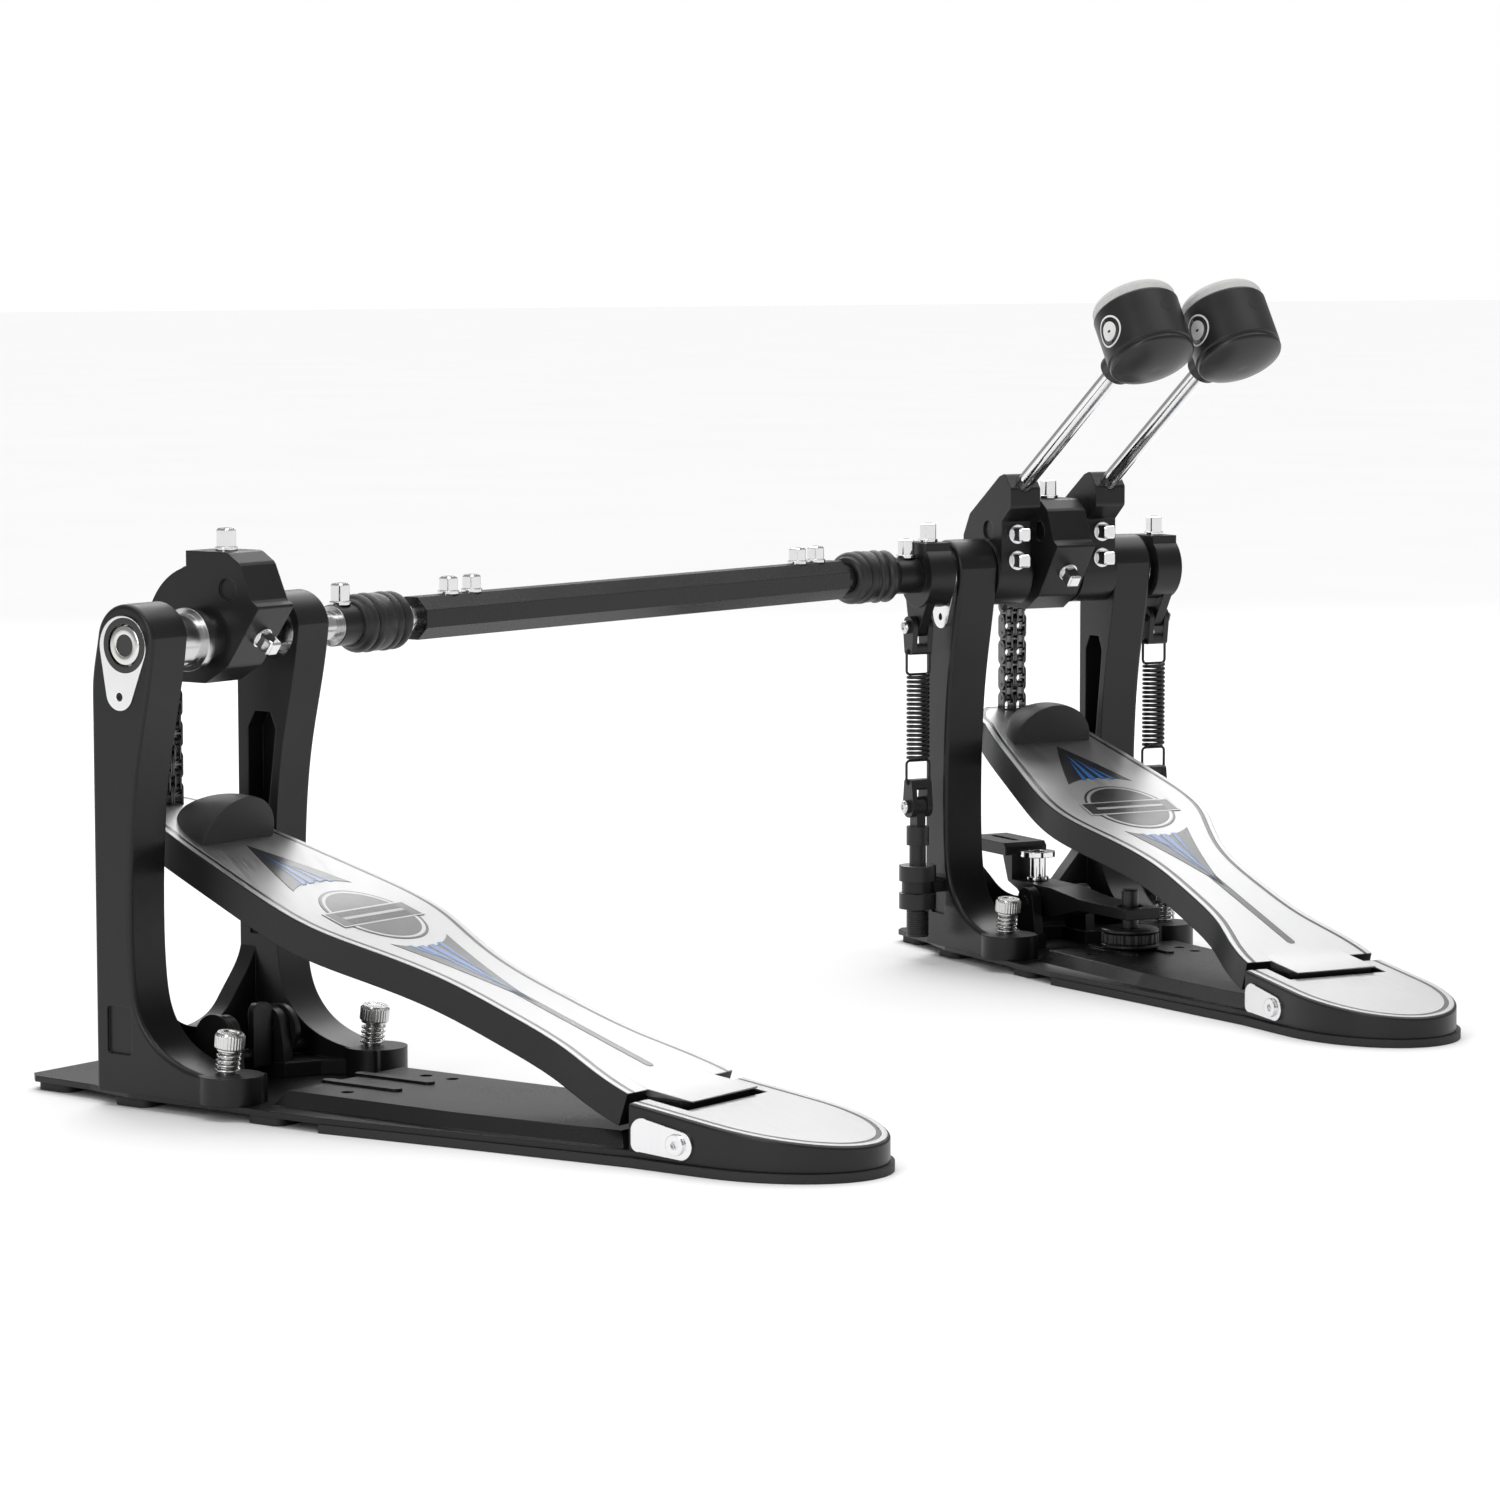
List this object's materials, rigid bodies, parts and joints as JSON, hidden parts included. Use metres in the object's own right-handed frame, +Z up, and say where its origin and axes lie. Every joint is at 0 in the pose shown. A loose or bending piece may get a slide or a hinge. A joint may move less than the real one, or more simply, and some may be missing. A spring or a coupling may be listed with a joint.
{
  "type": "double bass drum pedal",
  "caption": "Chain-driven bass drum pedal pair: a primary pedal with beaters and spring tensioners, a slave pedal, and a telescopic drive shaft with booted universal joints.",
  "frame": {"origin": "middle of the footprint of both pedals, on the floor", "axes": "+X along the primary pedal's axle to the player's right, +Y towards the drum, +Z up"},
  "size_m": [0.6388, 0.5497, 0.3256],
  "materials": {
    "black_casting": "satin",
    "black_sheet": "satin",
    "sole_rubber": "matte",
    "silver_casting": "brushed",
    "polished_aluminium": "polished",
    "spur_steel": "knurled",
    "stop_rubber": "satin",
    "chain_steel": "oiled",
    "axle_steel": "turned",
    "chrome_steel": "polished",
    "black_plastic": "semi-gloss",
    "grey_felt": "pressed felt",
    "dark_steel": "blackened",
    "tension_steel": "knurled",
    "black_tube": "satin",
    "boot_rubber": "satin"
  },
  "bodies": {
    "primary_frame": {"primary_base_plate": "black_sheet", "primary_rubber_sole": "sole_rubber", "primary_post_frame": "black_casting", "primary_heel_block": "black_casting", "primary_hinge_covers": "polished_aluminium", "primary_bearing_housings": "polished_aluminium", "spring_tensioners": "tension_steel"},
    "primary_spur_left": {"primary_spur_left": "spur_steel"},
    "primary_spur_right": {"primary_spur_right": "spur_steel"},
    "primary_footboard": {"primary_footboard": "silver_casting", "primary_toe_stop": "stop_rubber"},
    "primary_chain": {"primary_chain": "chain_steel"},
    "primary_chain_top": {"primary_chain_top_link": "chain_steel"},
    "primary_axle": {"primary_axle": "axle_steel", "primary_cam": "black_casting", "right_hub": "black_casting", "right_lever": "black_casting", "right_key_bolts": "chrome_steel"},
    "right_beater_rod": {"right_beater_rod": "chrome_steel"},
    "right_beater_head": {"right_beater_head": "black_plastic", "right_beater_felt": "grey_felt"},
    "right_upper_clevis": {"right_upper_clevis": "dark_steel"},
    "right_lower_clevis": {"right_lower_clevis": "dark_steel", "right_spring": "dark_steel"},
    "left_axle": {"left_axle": "axle_steel", "left_hub": "black_casting", "left_lever": "black_casting", "left_key_bolts": "chrome_steel", "left_axle_boot": "boot_rubber"},
    "left_beater_rod": {"left_beater_rod": "chrome_steel"},
    "left_beater_head": {"left_beater_head": "black_plastic", "left_beater_felt": "grey_felt"},
    "left_upper_clevis": {"left_upper_clevis": "dark_steel"},
    "left_lower_clevis": {"left_lower_clevis": "dark_steel", "left_spring": "dark_steel"},
    "clamp_rocker": {"clamp_rocker": "black_casting"},
    "clamp_thumb_bolt": {"clamp_thumb_bolt": "chrome_steel"},
    "clamp_knob": {"clamp_knob": "black_plastic"},
    "drive_tube": {"drive_tube": "black_tube", "tube_boot": "boot_rubber", "drive_key_bolts": "chrome_steel"},
    "drive_stem": {"drive_stem": "axle_steel", "stem_boot": "boot_rubber"},
    "slave_frame": {"slave_base_plate": "black_sheet", "slave_rubber_sole": "sole_rubber", "slave_post_frame": "black_casting", "slave_heel_block": "black_casting", "slave_hinge_covers": "polished_aluminium", "slave_bearing_housings": "polished_aluminium"},
    "slave_spur_left": {"slave_spur_left": "spur_steel"},
    "slave_spur_right": {"slave_spur_right": "spur_steel"},
    "slave_footboard": {"slave_footboard": "silver_casting", "slave_toe_stop": "stop_rubber"},
    "slave_chain": {"slave_chain": "chain_steel"},
    "slave_chain_top": {"slave_chain_top_link": "chain_steel"},
    "slave_axle": {"slave_axle": "axle_steel", "slave_cam": "black_casting", "slave_key_bolts": "chrome_steel", "slave_boot": "boot_rubber"}
  },
  "joints": [
    {"name": "primary_footboard_hinge", "type": "hinge", "parent": "primary_frame", "child": "primary_footboard", "pos_m": [0.24451, -0.03615, 0.013], "axis": [-1, 0, 0], "range_deg": [0, 5.2], "stiffness_Nm_per_rad": 20, "springref_deg": -5.73},
    {"name": "primary_chain_hinge", "type": "hinge", "parent": "primary_footboard", "child": "primary_chain", "pos_m": [0.24451, 0.23485, 0.112], "axis": [-1, 0, 0], "range_deg": [-12, 2]},
    {"name": "primary_chain_take_up", "type": "slide", "parent": "primary_chain", "child": "primary_chain_top", "axis": [0, 0, 1], "range_m": [-0.002, 0.027]},
    {"name": "primary_spur_left_screw", "type": "slide", "parent": "primary_frame", "child": "primary_spur_left", "axis": [0, 0.1219, -0.9925], "range_m": [-0.004, 0.0012]},
    {"name": "primary_spur_right_screw", "type": "slide", "parent": "primary_frame", "child": "primary_spur_right", "axis": [0, 0.1219, -0.9925], "range_m": [-0.004, 0.0012]},
    {"name": "slave_footboard_hinge", "type": "hinge", "parent": "slave_frame", "child": "slave_footboard", "pos_m": [-0.14482, -0.198, 0.013], "axis": [-0.8965, -0.4431, 0], "range_deg": [0, 5.2], "stiffness_Nm_per_rad": 20, "springref_deg": -5.73},
    {"name": "slave_chain_hinge", "type": "hinge", "parent": "slave_footboard", "child": "slave_chain", "pos_m": [-0.2649, 0.04495, 0.112], "axis": [-0.8965, -0.4431, 0], "range_deg": [-12, 2]},
    {"name": "slave_chain_take_up", "type": "slide", "parent": "slave_chain", "child": "slave_chain_top", "axis": [0, 0, 1], "range_m": [-0.002, 0.027]},
    {"name": "slave_spur_left_screw", "type": "slide", "parent": "slave_frame", "child": "slave_spur_left", "axis": [-0.054, 0.1093, -0.9925], "range_m": [-0.004, 0.0012]},
    {"name": "slave_spur_right_screw", "type": "slide", "parent": "slave_frame", "child": "slave_spur_right", "axis": [-0.054, 0.1093, -0.9925], "range_m": [-0.004, 0.0012]},
    {"name": "primary_axle_turn", "type": "hinge", "parent": "primary_frame", "child": "primary_axle", "pos_m": [0.24451, 0.20685, 0.185], "axis": [-1, 0, 0], "range_deg": [0, 50.42]},
    {"name": "slave_axle_turn", "type": "hinge", "parent": "slave_frame", "child": "slave_axle", "pos_m": [-0.25249, 0.01985, 0.185], "axis": [-0.8965, -0.4431, 0], "range_deg": [0, 50.42]},
    {"name": "drive_stem_turn", "type": "hinge", "parent": "slave_frame", "child": "drive_stem", "pos_m": [-0.16643, 0.06239, 0.185], "axis": [-0.9082, -0.4186, 0], "range_deg": [0, 50.42]},
    {"name": "drive_tube_turn", "type": "hinge", "parent": "primary_frame", "child": "drive_tube", "pos_m": [0.14701, 0.20685, 0.185], "axis": [-0.9082, -0.4186, 0], "range_deg": [0, 50.42]},
    {"name": "left_axle_turn", "type": "hinge", "parent": "primary_frame", "child": "left_axle", "pos_m": [0.24451, 0.20685, 0.185], "axis": [-1, 0, 0], "range_deg": [0, 50.42]},
    {"name": "left_beater_reach", "type": "slide", "parent": "left_axle", "child": "left_beater_rod", "axis": [0, -0.829, 0.5592], "range_m": [-0.01, 0.02]},
    {"name": "left_beater_face", "type": "hinge", "parent": "left_beater_rod", "child": "left_beater_head", "pos_m": [0.22101, 0.21988, 0.20432], "axis": [0, -0.829, 0.5592], "range_deg": [-180, 180]},
    {"name": "left_spring_eye", "type": "hinge", "parent": "left_axle", "child": "left_upper_clevis", "pos_m": [0.17851, 0.21085, 0.16], "axis": [-1, 0, 0], "range_deg": [-66, 1]},
    {"name": "left_spring_stretch", "type": "slide", "parent": "left_upper_clevis", "child": "left_lower_clevis", "axis": [0, 0, -1], "range_m": [-0.001, 0.008], "deforming": ["left_spring"]},
    {"name": "right_beater_reach", "type": "slide", "parent": "primary_axle", "child": "right_beater_rod", "axis": [0, -0.829, 0.5592], "range_m": [-0.01, 0.02]},
    {"name": "right_beater_face", "type": "hinge", "parent": "right_beater_rod", "child": "right_beater_head", "pos_m": [0.26801, 0.21988, 0.20432], "axis": [0, -0.829, 0.5592], "range_deg": [-180, 180]},
    {"name": "right_spring_eye", "type": "hinge", "parent": "primary_axle", "child": "right_upper_clevis", "pos_m": [0.31051, 0.21085, 0.16], "axis": [-1, 0, 0], "range_deg": [-66, 1]},
    {"name": "right_spring_stretch", "type": "slide", "parent": "right_upper_clevis", "child": "right_lower_clevis", "axis": [0, 0, -1], "range_m": [-0.001, 0.008], "deforming": ["right_spring"]},
    {"name": "shaft_length", "type": "slide", "parent": "primary_frame", "child": "slave_frame", "axis": [-0.9082, -0.4186, 0], "range_m": [-0.003, 0.05]},
    {"name": "clamp_knob_turn", "type": "hinge", "parent": "primary_frame", "child": "clamp_knob", "pos_m": [0.24451, 0.12485, 0], "axis": [0, 0, 1], "range_deg": [-300, 900]},
    {"name": "clamp_rocker_turn", "type": "hinge", "parent": "primary_frame", "child": "clamp_rocker", "pos_m": [0.24451, 0.19285, 0.027], "axis": [-1, 0, 0], "range_deg": [-1.3, 3.8]},
    {"name": "clamp_thumb_turn", "type": "hinge", "parent": "clamp_rocker", "child": "clamp_thumb_bolt", "pos_m": [0.24451, 0.20985, 0], "axis": [0, 0, 1], "range_deg": [-360, 360]}
  ],
  "couplings": [
    {"joint": "primary_chain_hinge", "follows": "primary_footboard_hinge", "ratio": -1.68},
    {"joint": "primary_chain_take_up", "follows": "primary_footboard_hinge", "m_per_rad": 0.2786},
    {"joint": "slave_chain_hinge", "follows": "slave_footboard_hinge", "ratio": -1.68},
    {"joint": "slave_chain_take_up", "follows": "slave_footboard_hinge", "m_per_rad": 0.2786},
    {"joint": "primary_axle_turn", "follows": "primary_footboard_hinge", "ratio": 9.6},
    {"joint": "slave_axle_turn", "follows": "slave_footboard_hinge", "ratio": 9.6},
    {"joint": "drive_stem_turn", "follows": "slave_footboard_hinge", "ratio": 9.6},
    {"joint": "drive_tube_turn", "follows": "slave_footboard_hinge", "ratio": 9.6},
    {"joint": "left_axle_turn", "follows": "slave_footboard_hinge", "ratio": 9.6},
    {"joint": "left_spring_eye", "follows": "slave_footboard_hinge", "ratio": -12.115},
    {"joint": "left_spring_stretch", "follows": "slave_footboard_hinge", "m_per_rad": 0.070518},
    {"joint": "right_spring_eye", "follows": "primary_footboard_hinge", "ratio": -12.115},
    {"joint": "right_spring_stretch", "follows": "primary_footboard_hinge", "m_per_rad": 0.070518},
    {"joint": "clamp_rocker_turn", "follows": "clamp_knob_turn", "ratio": 0.0040404}
  ]
}
